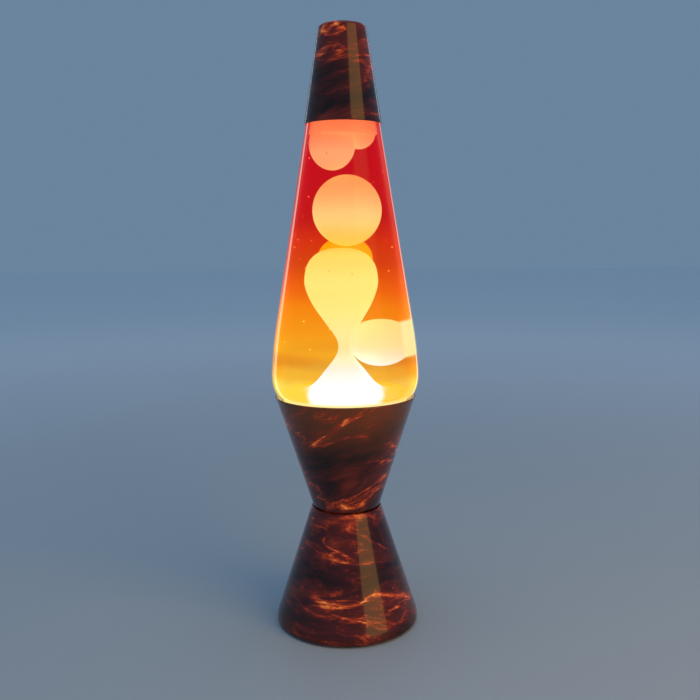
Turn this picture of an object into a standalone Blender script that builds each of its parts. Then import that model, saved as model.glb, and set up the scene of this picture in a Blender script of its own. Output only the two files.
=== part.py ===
"""A lava lamp on a spun-metal hourglass base.

The base is two metal cones joined at the waist. It holds a screw-in bulb in a socket cage, and a glass
globe of liquid and wax rests in its upper cup under a metal cap.

Sizes are in millimetres and become metres when a mesh is made. The lamp stands on z = 0 with its axis
on +Z, and its front faces -Y.
"""

import math

import bmesh
import bpy
from mathutils import Matrix, Vector

# Driving dimensions.
MM = 0.001
LAMP_HEIGHT = 368.0
CAP_EDGE_Z = 310.6
CAP_EDGE_RADIUS = 23.5
CAP_TOP_RADIUS = 14.8
CAP_CORNER = 3.6
CAP_WALL = 0.65
RIM_Z = 146.3
RIM_RADIUS = 43.6
RIM_BEAD = 0.7
WAIST_Z = 75.15
WAIST_RADIUS = 22.0
HEM_Z = 6.5
HEM_RADIUS = 44.45
HEM_BEAD = 1.5
METAL_WALL = 1.05
WAIST_HOLE = 18.8
WAIST_FLANGE_Z = 68.2
GAP = 0.3

GLASS_WALL = 2.2
GLOBE_BOTTOM_Z = 97.6
GLOBE_HEEL_RADIUS = 26.6
GLOBE_WIDEST = (45.9, 160.0)
TAPER_START = (43.2, 187.0)
TAPER_END = (22.5, 311.0)
NECK_RADIUS = 13.0
NECK_TOP_Z = 352.0

POOL_BOTTOM_Z = 108.9
POOL_TOP_Z = 149.0
WAX_CLEARANCE = 0.4
BLOB_ROOM_UP = 4.0
BLOB_ROOM_DOWN = 3.0
DROP_LEAN = (-1.9, -6.0)
COIL_RADIUS = 20.0
COIL_WIRE = 1.1
COIL_TURNS = 2.0
COIL_PITCH = 2.5

BULB_RADIUS = 17.4
BULB_TIP_Z = 26.1
BULB_LENGTH = 58.9
BULB_SHELL_RADIUS = 8.1
BULB_GLASS_WALL = 0.6

CAGE_INNER = 18.0
CAGE_SHEET = 0.8
CAGE_WIDTH = 9.0
CAGE_FLOOR_Z = 15.0
SOCKET_RADIUS = 12.6
SOCKET_BORE = 9.2
SOCKET_HEIGHT = 29.9
SOCKET_SCREW_X = 6.5
TERMINAL_Z = 35.0

COVER_RADIUS = 41.5
COVER_BOTTOM_Z = 2.8
COVER_THICKNESS = 2.0
COVER_SCREW_CIRCLE = 37.8
FOOT_CIRCLE = 32.0
GROMMET_Z = 13.0

FINE = 36
MEDIUM = 24
COARSE = 12
MERGE = 1e-4
SMOOTH_ANGLE = math.radians(35)


# Finishes.
def finish(name, colour, roughness, metallic=0.0, glow=0.0, clear=0.0):
    """A Principled material of one sub-part."""
    made = bpy.data.materials.new(name)
    made.use_nodes = True
    shader = made.node_tree.nodes["Principled BSDF"]
    shader.inputs["Base Color"].default_value = (*colour, 1.0)
    shader.inputs["Roughness"].default_value = roughness
    shader.inputs["Metallic"].default_value = metallic
    shader.inputs["Emission Color"].default_value = (*colour, 1.0)
    shader.inputs["Emission Strength"].default_value = glow
    shader.inputs["Transmission Weight"].default_value = clear
    return made


# Outlines, as lists of (radius, height).
def arc(centre, radius, start, end, steps):
    """Points on an arc about a centre, from one angle in degrees to another."""
    angles = [math.radians(start + (end - start) * i / steps) for i in range(steps + 1)]
    return [(centre[0] + radius * math.cos(a), centre[1] + radius * math.sin(a)) for a in angles]


def smooth(points, steps):
    """A Catmull-Rom curve through the points, with this many steps between two of them."""
    padded = [points[0], *points, points[-1]]
    curve = []
    for before, here, there, after in zip(padded, padded[1:], padded[2:], padded[3:]):
        for i in range(steps):
            t = i / steps
            curve.append(tuple(
                0.5 * (2 * b + (c - a) * t + (2 * a - 5 * b + 4 * c - d) * t ** 2
                       + (3 * b - a - 3 * c + d) * t ** 3)
                for a, b, c, d in zip(before, here, there, after)
            ))
    return curve + [points[-1]]


def beside(points, distance):
    """The line at this distance to the left of a line through the points."""
    moved = []
    for i, point in enumerate(points):
        before = Vector(points[max(i - 1, 0)])
        after = Vector(points[min(i + 1, len(points) - 1)])
        here = Vector(point)
        ways = [step.normalized() for step in (here - before, after - here) if step.length > 0]
        along = (ways[0] + ways[-1]).normalized()
        stretch = 1 / max(along.dot(ways[0]), 0.5)
        moved.append((here.x - along.y * distance * stretch, here.y + along.x * distance * stretch))
    return moved


def strip(path, thickness):
    """The closed outline of a strip of sheet along a path."""
    return beside(path, thickness / 2) + beside(path, -thickness / 2)[::-1]


def raised(outline, z):
    """The same outline, higher by z."""
    return [(radius, height + z) for radius, height in outline]


def cone_radius(z):
    """Outer radius of the lower cone."""
    return WAIST_RADIUS + (WAIST_Z - z) * (HEM_RADIUS - WAIST_RADIUS) / (WAIST_Z - HEM_Z)


def cup_radius(z):
    """Outer radius of the upper cup above its neck."""
    return RIM_RADIUS - (RIM_Z - z) * 0.32


def glass_radius(z):
    """Outer radius of the globe on its long taper."""
    slope = (TAPER_START[0] - TAPER_END[0]) / (TAPER_END[1] - TAPER_START[1])
    return TAPER_START[0] - (z - TAPER_START[1]) * slope


# Meshes, in millimetres until they are placed.
def turned(outline, segments=FINE):
    """A solid of revolution about Z. An outline that starts and ends on the axis stays open there."""
    bm = bmesh.new()
    points = [bm.verts.new((radius, 0.0, z)) for radius, z in outline]
    pairs = list(zip(points, points[1:]))
    if outline[0][0] > 0:
        pairs.append((points[-1], points[0]))
    edges = [bm.edges.new(pair) for pair in pairs]
    bmesh.ops.spin(
        bm, geom=points + edges, axis=(0, 0, 1), cent=(0, 0, 0), angle=math.tau, steps=segments, use_merge=True
    )
    return bm


def extruded(outline, width):
    """An outline in X and Z, pulled along Y to both sides of the axis."""
    bm = bmesh.new()
    face = bm.faces.new([bm.verts.new((x, -width / 2, z)) for x, z in outline])
    pulled = bmesh.ops.extrude_face_region(bm, geom=[face])["geom"]
    bmesh.ops.translate(bm, vec=(0, width, 0), verts=[v for v in pulled if isinstance(v, bmesh.types.BMVert)])
    return bm


def rod(radius, start, end, segments=COARSE):
    """A plain round bar between two points."""
    start = Vector(start)
    end = Vector(end)
    bm = bmesh.new()
    turn = (end - start).to_track_quat("Z", "Y").to_matrix().to_4x4()
    bmesh.ops.create_cone(
        bm, cap_ends=True, segments=segments, radius1=radius, radius2=radius,
        depth=(end - start).length, matrix=Matrix.Translation((start + end) / 2) @ turn,
    )
    return bm


def wire(points, radius, sides=6):
    """A round wire along a line of points, closed at both ends."""
    bm = bmesh.new()
    rings = []
    side = Vector((0, 0, 1))
    for i, point in enumerate(points):
        along = (Vector(points[min(i + 1, len(points) - 1)]) - Vector(points[max(i - 1, 0)])).normalized()
        side = (side - along * side.dot(along)).normalized()
        other = along.cross(side)
        rings.append([
            bm.verts.new(Vector(point) + radius * (math.cos(a) * side + math.sin(a) * other))
            for a in (math.tau * k / sides for k in range(sides))
        ])
    for ring, following in zip(rings, rings[1:]):
        for k in range(sides):
            bm.faces.new((ring[k], ring[k - 1], following[k - 1], following[k]))
    bm.faces.new(rings[0])
    bm.faces.new(rings[-1][::-1])
    return bm


def blob(half_sizes):
    """A rounded lump of wax about its own centre."""
    bm = bmesh.new()
    bmesh.ops.create_icosphere(bm, subdivisions=3, radius=1.0)
    bmesh.ops.scale(bm, vec=half_sizes, verts=bm.verts)
    return bm


def joined(*shapes):
    """Several shapes in one mesh, for a cutter."""
    bm = bmesh.new()
    for shape in shapes:
        held = bpy.data.meshes.new("held")
        shape.to_mesh(held)
        shape.free()
        bm.from_mesh(held)
        bpy.data.meshes.remove(held)
    return bm


def around(radius, degrees, z=0.0):
    """A place on a circle about the lamp's axis."""
    turn = math.radians(degrees)
    return Vector((radius * math.cos(turn), radius * math.sin(turn), z))


# Objects.
def pivot(name, at=(0, 0, 0)):
    """The empty that carries a body, on its joint's axis."""
    empty = bpy.data.objects.new(name, None)
    empty.location = Vector(at) * MM
    bpy.context.scene.collection.objects.link(empty)
    return empty


def mesh_object(name, bm):
    bmesh.ops.remove_doubles(bm, verts=bm.verts, dist=MERGE)
    bmesh.ops.recalc_face_normals(bm, faces=bm.faces)
    bmesh.ops.scale(bm, vec=(MM, MM, MM), verts=bm.verts)
    mesh = bpy.data.meshes.new(name)
    bm.to_mesh(mesh)
    bm.free()
    mesh.shade_smooth()
    mesh.set_sharp_from_angle(angle=SMOOTH_ANGLE)
    made = bpy.data.objects.new(name, mesh)
    bpy.context.scene.collection.objects.link(made)
    return made


def piece(name, bm, look, body, at=(0, 0, 0), turn=None):
    """A sub-part on a body, with its mesh drawn about the point that it is placed at."""
    made = mesh_object(name, bm)
    made.data.materials.append(look)
    made.parent = body
    made.location = Vector(at) * MM - body.location
    if turn is not None:
        made.rotation_euler = turn
    return made


def combine(made, name, bm, operation):
    """Cuts a helper shape from a piece that is placed at the world's origin, or joins it on."""
    helper = mesh_object(name, bm)
    helper.hide_render = True
    helper.display_type = "WIRE"
    change = made.modifiers.new(name, "BOOLEAN")
    change.operation = operation
    change.solver = "EXACT"
    change.object = helper


def pan_screw(head_radius, head_height, shank_radius, length):
    """A domed screw that points up, with the underside of its head at z = 0."""
    return turned([
        (0, -head_height),
        (head_radius * 0.6, -head_height * 0.92),
        (head_radius, -head_height * 0.35),
        (head_radius, 0),
        (shank_radius, 0),
        (shank_radius, length * 0.82),
        (0, length),
    ], COARSE)


# Sub-parts of the base.
def make_lower_cone(look, body):
    inner_top = WAIST_FLANGE_Z + 1.0
    lip = WAIST_HOLE + 2.1
    outline = [
        (lip + 0.1, WAIST_Z - 0.4),
        (lip + 0.35, WAIST_Z),
        (WAIST_RADIUS - 0.2, WAIST_Z),
        (cone_radius(WAIST_Z - 0.4), WAIST_Z - 0.4),
        (HEM_RADIUS, HEM_Z),
        *arc((HEM_RADIUS - 0.9, 1.0 + HEM_BEAD), HEM_BEAD, 15, -215, 8),
        (HEM_RADIUS - METAL_WALL, HEM_Z),
        (cone_radius(WAIST_FLANGE_Z) - METAL_WALL, WAIST_FLANGE_Z),
        (WAIST_HOLE, WAIST_FLANGE_Z),
        (WAIST_HOLE, inner_top),
        (lip, inner_top),
    ]
    cone = piece("lower_cone", turned(outline), look, body)
    outward = grommet_axis()
    wall = grommet_seat()
    combine(cone, "cord_hole", rod(4.0, wall - outward * 6, wall + outward * 6), "DIFFERENCE")


def grommet_axis():
    """The direction square to the rear of the lower cone."""
    slope = math.atan2(HEM_RADIUS - WAIST_RADIUS, WAIST_Z - HEM_Z)
    return Vector((0, math.cos(slope), math.sin(slope)))


def grommet_seat():
    """The middle of the cone's wall where the cord comes in."""
    return Vector((0, cone_radius(GROMMET_Z) - METAL_WALL / 2, GROMMET_Z))


def make_cord_grommet(look, body):
    outline = [
        (2.3, -2.9), (5.2, -2.9), (5.6, -2.4), (5.6, -1.3), (3.6, -1.3),
        (3.6, 0.8), (5.8, 0.8), (5.8, 1.5), (4.9, 2.3), (2.3, 2.3),
    ]
    tilt = grommet_axis().to_track_quat("Z", "Y").to_euler()
    piece("cord_grommet", turned(outline, COARSE), look, body, grommet_seat(), tilt)


def make_upper_cup(look, body):
    floor = WAIST_FLANGE_Z + 1.3
    bend = 77.9
    neck = WAIST_HOLE + 1.7
    bead = (RIM_RADIUS - 0.6, RIM_Z - RIM_BEAD)
    outline = [
        *arc(bead, RIM_BEAD, 190, -20, 6),
        (cup_radius(bend), bend),
        (neck + 0.5, WAIST_Z + 0.8),
        (neck, WAIST_Z - 0.8),
        (neck, floor + 1.6),
        (neck - 0.6, floor + 0.3),
        (neck - 1.2, floor),
        (WAIST_HOLE, floor),
        (WAIST_HOLE, floor + 1.0),
        (neck - METAL_WALL, floor + 1.4),
        (neck - METAL_WALL, WAIST_Z),
        (cup_radius(bend) - METAL_WALL, bend),
        (cup_radius(RIM_Z - 2) - METAL_WALL, RIM_Z - 2),
    ]
    piece("upper_cup", turned(outline), look, body)


def make_socket_cage(look, body):
    """A collar that clamps the two cones together, with two straps down to the socket's floor."""
    collar = [
        (CAGE_INNER, WAIST_FLANGE_Z - 1.2),
        (20.4, WAIST_FLANGE_Z - 1.2),
        (20.4, WAIST_FLANGE_Z - GAP),
        (WAIST_HOLE - GAP, WAIST_FLANGE_Z - GAP),
        (WAIST_HOLE - GAP, WAIST_FLANGE_Z + 2.6),
        (WAIST_HOLE + 0.15, WAIST_FLANGE_Z + 2.8),
        (WAIST_HOLE + 0.15, WAIST_FLANGE_Z + 3.3),
        (CAGE_INNER, WAIST_FLANGE_Z + 3.3),
    ]
    cage = piece("socket_cage", turned(collar, FINE), look, body)
    middle = CAGE_INNER + CAGE_SHEET / 2
    top = WAIST_FLANGE_Z - 0.7
    floor = CAGE_FLOOR_Z + CAGE_SHEET / 2
    bend = 2.0
    path = [(-middle, top), (-middle, floor + bend), (-middle + bend, floor)]
    path += [(-x, z) for x, z in reversed(path)]
    combine(cage, "cage_straps", extruded(strip(path, CAGE_SHEET), CAGE_WIDTH), "UNION")
    holes = [
        rod(1.5, (side * SOCKET_SCREW_X, 0, CAGE_FLOOR_Z - 2), (side * SOCKET_SCREW_X, 0, CAGE_FLOOR_Z + 3))
        for side in (-1, 1)
    ]
    combine(cage, "cage_holes", joined(*holes), "DIFFERENCE")


def make_socket_body(look, body):
    floor = CAGE_FLOOR_Z + CAGE_SHEET + GAP
    outline = raised([
        (0, 0),
        (SOCKET_RADIUS - 0.8, 0),
        (SOCKET_RADIUS, 0.8),
        (SOCKET_RADIUS, SOCKET_HEIGHT - 3.0),
        (SOCKET_RADIUS - 1.4, SOCKET_HEIGHT),
        (SOCKET_BORE + 0.4, SOCKET_HEIGHT),
        (SOCKET_BORE, SOCKET_HEIGHT - 0.6),
        (SOCKET_BORE, 5.0),
        (0, 5.0),
    ], floor)
    holder = piece("socket_body", turned(outline, MEDIUM), look, body)
    holes = [
        rod(1.5, (side * SOCKET_SCREW_X, 0, floor - 1), (side * SOCKET_SCREW_X, 0, floor + 3.6))
        for side in (-1, 1)
    ]
    holes += [
        rod(1.8, (0, side * (SOCKET_BORE + 0.9), TERMINAL_Z), (0, side * (SOCKET_RADIUS + 1), TERMINAL_Z))
        for side in (-1, 1)
    ]
    combine(holder, "socket_holes", joined(*holes), "DIFFERENCE")


def make_socket_fittings(looks, body):
    floor = CAGE_FLOOR_Z + CAGE_SHEET + GAP + 5.0
    top = SOCKET_HEIGHT - 6.4
    bore = SOCKET_BORE - GAP
    shell = [(5.2, 3.5), (bore, 3.5), (bore, top), (bore - 0.4, top), (bore - 0.4, 3.9), (5.2, 3.9)]
    piece("socket_screw_shell", turned(raised(shell, floor), MEDIUM), looks["brass"], body)
    spring = [(-4.4, 0.5), (2.6, 0.5), (3.8, 1.5), (0.8, 4.2), (-1.6, 4.4)]
    piece("centre_contact", extruded(strip(raised(spring, floor), 0.5), 4.0), looks["brass"], body)
    for number, side in enumerate((-1, 1), 1):
        turn = (math.radians(90 * side), 0, 0)
        place = (0, side * (SOCKET_RADIUS + GAP), TERMINAL_Z)
        piece(f"terminal_screw_{number}", pan_screw(3.2, 1.7, 1.5, 2.6), looks["brass"], body, place, turn)
        place = (side * SOCKET_SCREW_X, 0, CAGE_FLOOR_Z - GAP)
        piece(f"socket_screw_{number}", pan_screw(2.6, 1.5, 1.2, 4.4), looks["steel"], body, place)


def make_bottom_cover(looks, body):
    top = COVER_BOTTOM_Z + COVER_THICKNESS
    outline = [
        (0, COVER_BOTTOM_Z),
        (COVER_RADIUS - 0.5, COVER_BOTTOM_Z),
        (COVER_RADIUS, COVER_BOTTOM_Z + 0.5),
        (COVER_RADIUS, top),
        (0, top),
    ]
    cover = piece("bottom_cover", turned(outline, FINE), looks["plastic"], body)
    vents = []
    for degrees in range(0, 360, 30):
        vent = bmesh.new()
        bmesh.ops.create_cube(vent, size=1.0)
        bmesh.ops.scale(vent, vec=(12.0, 3.2, 8.0), verts=vent.verts)
        bmesh.ops.translate(vent, vec=(18.0, 0, COVER_BOTTOM_Z), verts=vent.verts)
        bmesh.ops.rotate(vent, matrix=Matrix.Rotation(math.radians(degrees), 3, "Z"), verts=vent.verts)
        vents.append(vent)
    holes = []
    for number in range(3):
        screw_turn = 30 + 120 * number
        foot_turn = 90 + 120 * number
        for radius, circle, degrees in ((1.7, COVER_SCREW_CIRCLE, screw_turn), (2.3, FOOT_CIRCLE, foot_turn)):
            holes.append(rod(radius, around(circle, degrees, 0), around(circle, degrees, 8)))
        lug = make_cover_lug(number + 1, screw_turn, looks["steel"], body)
        hole = rod(1.7, around(COVER_SCREW_CIRCLE, screw_turn, 0), around(COVER_SCREW_CIRCLE, screw_turn, 12))
        combine(lug, f"lug_hole_{number + 1}", hole, "DIFFERENCE")
        place = around(COVER_SCREW_CIRCLE, screw_turn, COVER_BOTTOM_Z - GAP)
        piece(f"cover_screw_{number + 1}", pan_screw(2.9, 1.3, 1.4, 5.6), looks["steel"], body, place)
        place = around(FOOT_CIRCLE, foot_turn)
        foot = [(0, 0), (4.6, 0), (5.0, 0.5), (5.0, 2.5), (2.0, 2.5), (2.0, 5.1), (2.9, 5.1), (2.2, 6.6), (0, 6.6)]
        piece(f"rubber_foot_{number + 1}", turned(foot, COARSE), looks["rubber"], body, place)
    combine(cover, "cover_holes", joined(*vents, *holes), "DIFFERENCE")


def make_cover_lug(number, degrees, look, body):
    """An angle of sheet steel welded inside the hem, which a cover screw bites into."""
    bottom = COVER_BOTTOM_Z + COVER_THICKNESS + GAP
    top = 13.0
    bend = bottom + 2.0
    clear = METAL_WALL + 0.65
    outline = [
        (34.8, bottom),
        (HEM_RADIUS - 2.4, bottom),
        (cone_radius(bend) - clear, bend),
        (cone_radius(top) - clear, top),
        (cone_radius(top) - clear - CAGE_SHEET, top),
        (HEM_RADIUS - 2.4 - CAGE_SHEET, bottom + CAGE_SHEET),
        (34.8, bottom + CAGE_SHEET),
    ]
    return piece(
        f"cover_lug_{number}", extruded(outline, 8.0), look, body, turn=(0, 0, math.radians(degrees))
    )


# Sub-parts of the bulb.
def make_bulb(looks, tip_body, body):
    """A clear lamp with a bulb-shaped envelope. Its heights count up from the tip of its contact."""
    tip = [(0, 0), (2.0, 0.2), (2.9, 1.0), (2.9, 1.3), (0, 1.3)]
    piece("bulb_contact", turned(raised(tip, BULB_TIP_Z), COARSE), looks["solder"], tip_body)
    insulator = [(0, 1.6), (4.2, 1.6), (7.6, 3.9), (7.6, 4.5), (0, 4.5)]
    piece("bulb_insulator", turned(raised(insulator, BULB_TIP_Z), COARSE), looks["phenolic"], tip_body)
    shell = [
        (BULB_SHELL_RADIUS - 0.4, 4.8), (BULB_SHELL_RADIUS, 5.2), (BULB_SHELL_RADIUS, 18.9),
        (BULB_SHELL_RADIUS + 0.3, 20.5), (BULB_SHELL_RADIUS - 0.1, 20.5), (BULB_SHELL_RADIUS - 0.4, 18.9),
    ]
    piece("bulb_screw_base", turned(raised(shell, BULB_TIP_Z), MEDIUM), looks["nickel"], body)
    outer = [
        (6.9, 11.9), (7.0, 19.4), (9.4, 23.4), (14.2, 29.4), (16.9, 35.9), (BULB_RADIUS, 41.9),
        (16.2, 48.4), (11.9, 54.9), (6.2, BULB_LENGTH - 0.8), (0, BULB_LENGTH),
    ]
    inner = beside(outer, BULB_GLASS_WALL)
    inner[-1] = (0, BULB_LENGTH - BULB_GLASS_WALL)
    envelope = outer[::-1] + inner
    piece("bulb_glass", turned(raised(envelope, BULB_TIP_Z), MEDIUM), looks["glass"], body)
    stem = [(0, 12.9), (3.4, 12.9), (3.0, 19.9), (1.8, 24.9), (1.8, 28.9), (1.1, 29.9), (0, 30.1)]
    piece("bulb_stem", turned(raised(stem, BULB_TIP_Z), COARSE), looks["glass"], body)
    end_x = 7.0
    coil_z = BULB_TIP_Z + 41.9
    for number, side in enumerate((-1, 1), 1):
        route = [
            (side * 2.3, 0, BULB_TIP_Z + 26.9), (side * 2.7, 0, BULB_TIP_Z + 30.9),
            (side * (end_x + 0.6), 0, coil_z - 0.8),
        ]
        piece(f"filament_lead_{number}", wire(route, 0.3), looks["nickel"], body)
    span = [end_x * (i / 6 - 1) for i in range(13)]
    route = [(x, 0, coil_z + 2.6 * math.cos(math.pi * x / (2 * end_x))) for x in span]
    piece("filament", wire(route, 0.35), looks["filament"], body)


# Sub-parts of the globe.
def globe_outline():
    """The outside of the globe, from the middle of its foot up to its lip."""
    widest, widest_z = GLOBE_WIDEST
    seat = (RIM_RADIUS - 1.3, RIM_Z + 0.5)
    side = [
        seat, (widest - 1.9, 149.4), (widest - 0.5, 154.0), (widest, widest_z), (widest - 0.55, 169.0),
        (widest - 1.5, 178.0), TAPER_START,
    ]
    shoulder = [(glass_radius(323.0), 323.0), (18.4, 330.0), (14.8, 335.5), (NECK_RADIUS, 341.0)]
    foot = arc((GLOBE_HEEL_RADIUS - 3.0, GLOBE_BOTTOM_Z + 3.0), 3.0, -90, -10, 3)
    return [
        (0, GLOBE_BOTTOM_Z + 2.4),
        (15.0, GLOBE_BOTTOM_Z + 1.7),
        (21.0, GLOBE_BOTTOM_Z + 0.3),
        *foot,
        (RIM_RADIUS - 2.2, RIM_Z - 1.4),
        *side,
        *shoulder,
        (NECK_RADIUS, NECK_TOP_Z - 4.5),
    ]


def inside_glass(z):
    """Inner radius of the globe below its shoulder."""
    line = beside(globe_outline(), GLASS_WALL)
    for (low_radius, low), (high_radius, high) in zip(line, line[1:]):
        if low <= z <= high:
            return low_radius + (high_radius - low_radius) * (z - low) / (high - low)
    return 0.0


def make_globe(looks, body):
    outer = globe_outline()
    inner = beside(outer, GLASS_WALL)
    inner[0] = (0, outer[0][1] + GLASS_WALL)
    lip = [
        (NECK_RADIUS + 0.6, NECK_TOP_Z - 3.9),
        (NECK_RADIUS + 0.6, NECK_TOP_Z - 1.5),
        (NECK_RADIUS - 0.2, NECK_TOP_Z),
        (NECK_RADIUS - GLASS_WALL + 0.4, NECK_TOP_Z),
    ]
    piece("globe_glass", turned(outer + lip + inner[::-1], FINE), looks["glass"], body)
    liner = [(0, NECK_TOP_Z + GAP), (12.9, NECK_TOP_Z + GAP), (12.9, NECK_TOP_Z + 0.9), (0, NECK_TOP_Z + 0.9)]
    piece("closure_liner", turned(liner, MEDIUM), looks["liner"], body)
    make_crown(looks["tinplate"], body)
    turns = int(COIL_TURNS * MEDIUM)
    steps = [i / MEDIUM for i in range(turns + 1)]
    foot = GLOBE_BOTTOM_Z + GLASS_WALL + COIL_WIRE + 1.4
    coil = [around(COIL_RADIUS, 360 * turn, foot + COIL_PITCH * turn) for turn in steps]
    piece("heat_coil", wire(coil, COIL_WIRE), looks["steel"], body)


def make_crown(look, body):
    """The pressed closure, with its skirt drawn into flutes round the glass lip."""
    top = NECK_TOP_Z + 1.2
    flutes = 21
    segments = flutes * 2
    outline = [
        (0, top + 0.3), (11.6, top + 0.3), (13.4, top - 0.4), (14.2, top - 2.0), (14.6, top - 4.6),
        (14.3, top - 4.8), (13.95, top - 2.0), (13.3, top), (0, top),
    ]
    bm = turned(outline, segments)
    bmesh.ops.remove_doubles(bm, verts=bm.verts, dist=MERGE)
    for vert in bm.verts:
        radius = math.hypot(vert.co.x, vert.co.y)
        if vert.co.z < top - 1.0 and radius > 0:
            step = round(math.atan2(vert.co.y, vert.co.x) / math.tau * segments)
            flare = 0.5 * (top - 1.0 - vert.co.z) / 3.8 * (step % 2)
            vert.co.x *= 1 + flare / radius
            vert.co.y *= 1 + flare / radius
    piece("crown_closure", bm, look, body)


# The wax: centres and half sizes of the lumps.
WAX_BLOBS = {
    "wax_blob_middle": ((2.0, -4.0, 259.8), (21.2, 20.6, 21.4)),
    "wax_blob_rear": ((0.5, 25.0, 230.5), (18.0, 6.6, 14.0)),
    "wax_blob_side": ((22.5, 9.6, 177.6), (20.4, 13.6, 15.0)),
}
TOP_LOBES = (((-6.6, -3.0, 299.0), (14.0, 14.0, 15.4)), ((9.6, 3.4, 306.0), (10.0, 10.0, 9.4)))


def column_outline():
    """The settled pool, the neck of wax that rises from it and the drop at the top."""
    edge = beside([(inside_glass(z), z) for z in (POOL_BOTTOM_Z, 112.0, 144.0)], WAX_CLEARANCE)
    rising = smooth([
        (24.6, POOL_TOP_Z + 0.9), (19.4, 153.4), (12.6, 161.6), (6.5, 169.0), (3.7, 176.5), (5.4, 183.0),
        (11.6, 192.5), (18.6, 204.0), (22.6, 217.0), (20.4, 228.0), (12.6, 235.0), (0, 237.4),
    ], 2)
    return [
        (0, POOL_BOTTOM_Z),
        (edge[0][0] - 2.0, POOL_BOTTOM_Z),
        (edge[0][0], POOL_BOTTOM_Z + 1.2),
        *edge[1:],
        (inside_glass(POOL_TOP_Z) - WAX_CLEARANCE - 0.6, POOL_TOP_Z - 0.8),
        (34.0, POOL_TOP_Z),
        *rising,
    ]


def make_wax(looks, globe, blob_bodies):
    bm = turned(column_outline(), MEDIUM)
    bmesh.ops.remove_doubles(bm, verts=bm.verts, dist=MERGE)
    for vert in bm.verts:
        rise = min(max((vert.co.z - 160.0) / 58.0, 0.0), 1.0)
        lean = rise * rise * (3 - 2 * rise)
        vert.co.x += DROP_LEAN[0] * lean
        vert.co.y += DROP_LEAN[1] * lean
    piece("wax_column", bm, looks["wax"], globe)
    make_risen_wax(looks["wax"], globe)
    for name, (centre, half_sizes) in WAX_BLOBS.items():
        lump = blob(half_sizes)
        press_on_glass(lump, centre)
        piece(name, lump, looks["wax"], blob_bodies[name], centre)


def press_on_glass(lump, centre):
    """Flattens a lump where it meets the globe's wall, with room for it to slide along the wall's taper."""
    for vert in lump.verts:
        x, y, z = (middle + offset for middle, offset in zip(centre, vert.co))
        room = min(inside_glass(z + BLOB_ROOM_UP), inside_glass(z - BLOB_ROOM_DOWN)) - WAX_CLEARANCE
        reach = math.hypot(x, y)
        if reach > room:
            vert.co.x = x * room / reach - centre[0]
            vert.co.y = y * room / reach - centre[1]


def make_risen_wax(look, globe):
    """The wax that has risen under the globe's shoulder, with two lobes that hang from it."""
    low = 303.5
    high = 322.0
    spread = [(inside_glass(z) - WAX_CLEARANCE, z) for z in (low + 2.0, high - 4.0)]
    outline = [
        (0, low), (spread[0][0] - 5.0, low), (spread[0][0] - 1.4, low + 0.6), *spread,
        (spread[1][0] - 5.0, high - 0.8), (0, high),
    ]
    risen = piece("wax_top_mass", turned(outline, MEDIUM), look, globe)
    for number, (centre, half_sizes) in enumerate(TOP_LOBES, 1):
        lobe = blob(half_sizes)
        bmesh.ops.translate(lobe, vec=centre, verts=lobe.verts)
        combine(risen, f"lobe_{number}", lobe, "UNION")


# The cap.
def make_cap(look, body):
    edge = (CAP_EDGE_RADIUS, CAP_EDGE_Z)
    corner_z = LAMP_HEIGHT - CAP_CORNER
    slope = (CAP_EDGE_RADIUS - CAP_TOP_RADIUS) / (corner_z - CAP_EDGE_Z)
    hem = 1.2
    outside = [
        (edge[0] - slope * hem, CAP_EDGE_Z + hem),
        *smooth([
            (CAP_TOP_RADIUS, corner_z), (CAP_TOP_RADIUS - 0.55, LAMP_HEIGHT - 1.3),
            (CAP_TOP_RADIUS - 2.2, LAMP_HEIGHT - 0.25),
        ], 2),
        (0, LAMP_HEIGHT),
    ]
    inside = [(radius - CAP_WALL, z - CAP_WALL * 0.4) for radius, z in outside[:2]]
    outline = [
        *outside[::-1],
        (edge[0], CAP_EDGE_Z + 0.3),
        (edge[0] - 0.3, CAP_EDGE_Z),
        (edge[0] - CAP_WALL, CAP_EDGE_Z + 0.2),
        *inside,
        (CAP_TOP_RADIUS - 2.6, LAMP_HEIGHT - 0.25 - CAP_WALL),
        (0, LAMP_HEIGHT - CAP_WALL),
    ]
    piece("lamp_cap", turned(outline, FINE), look, body)


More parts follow.
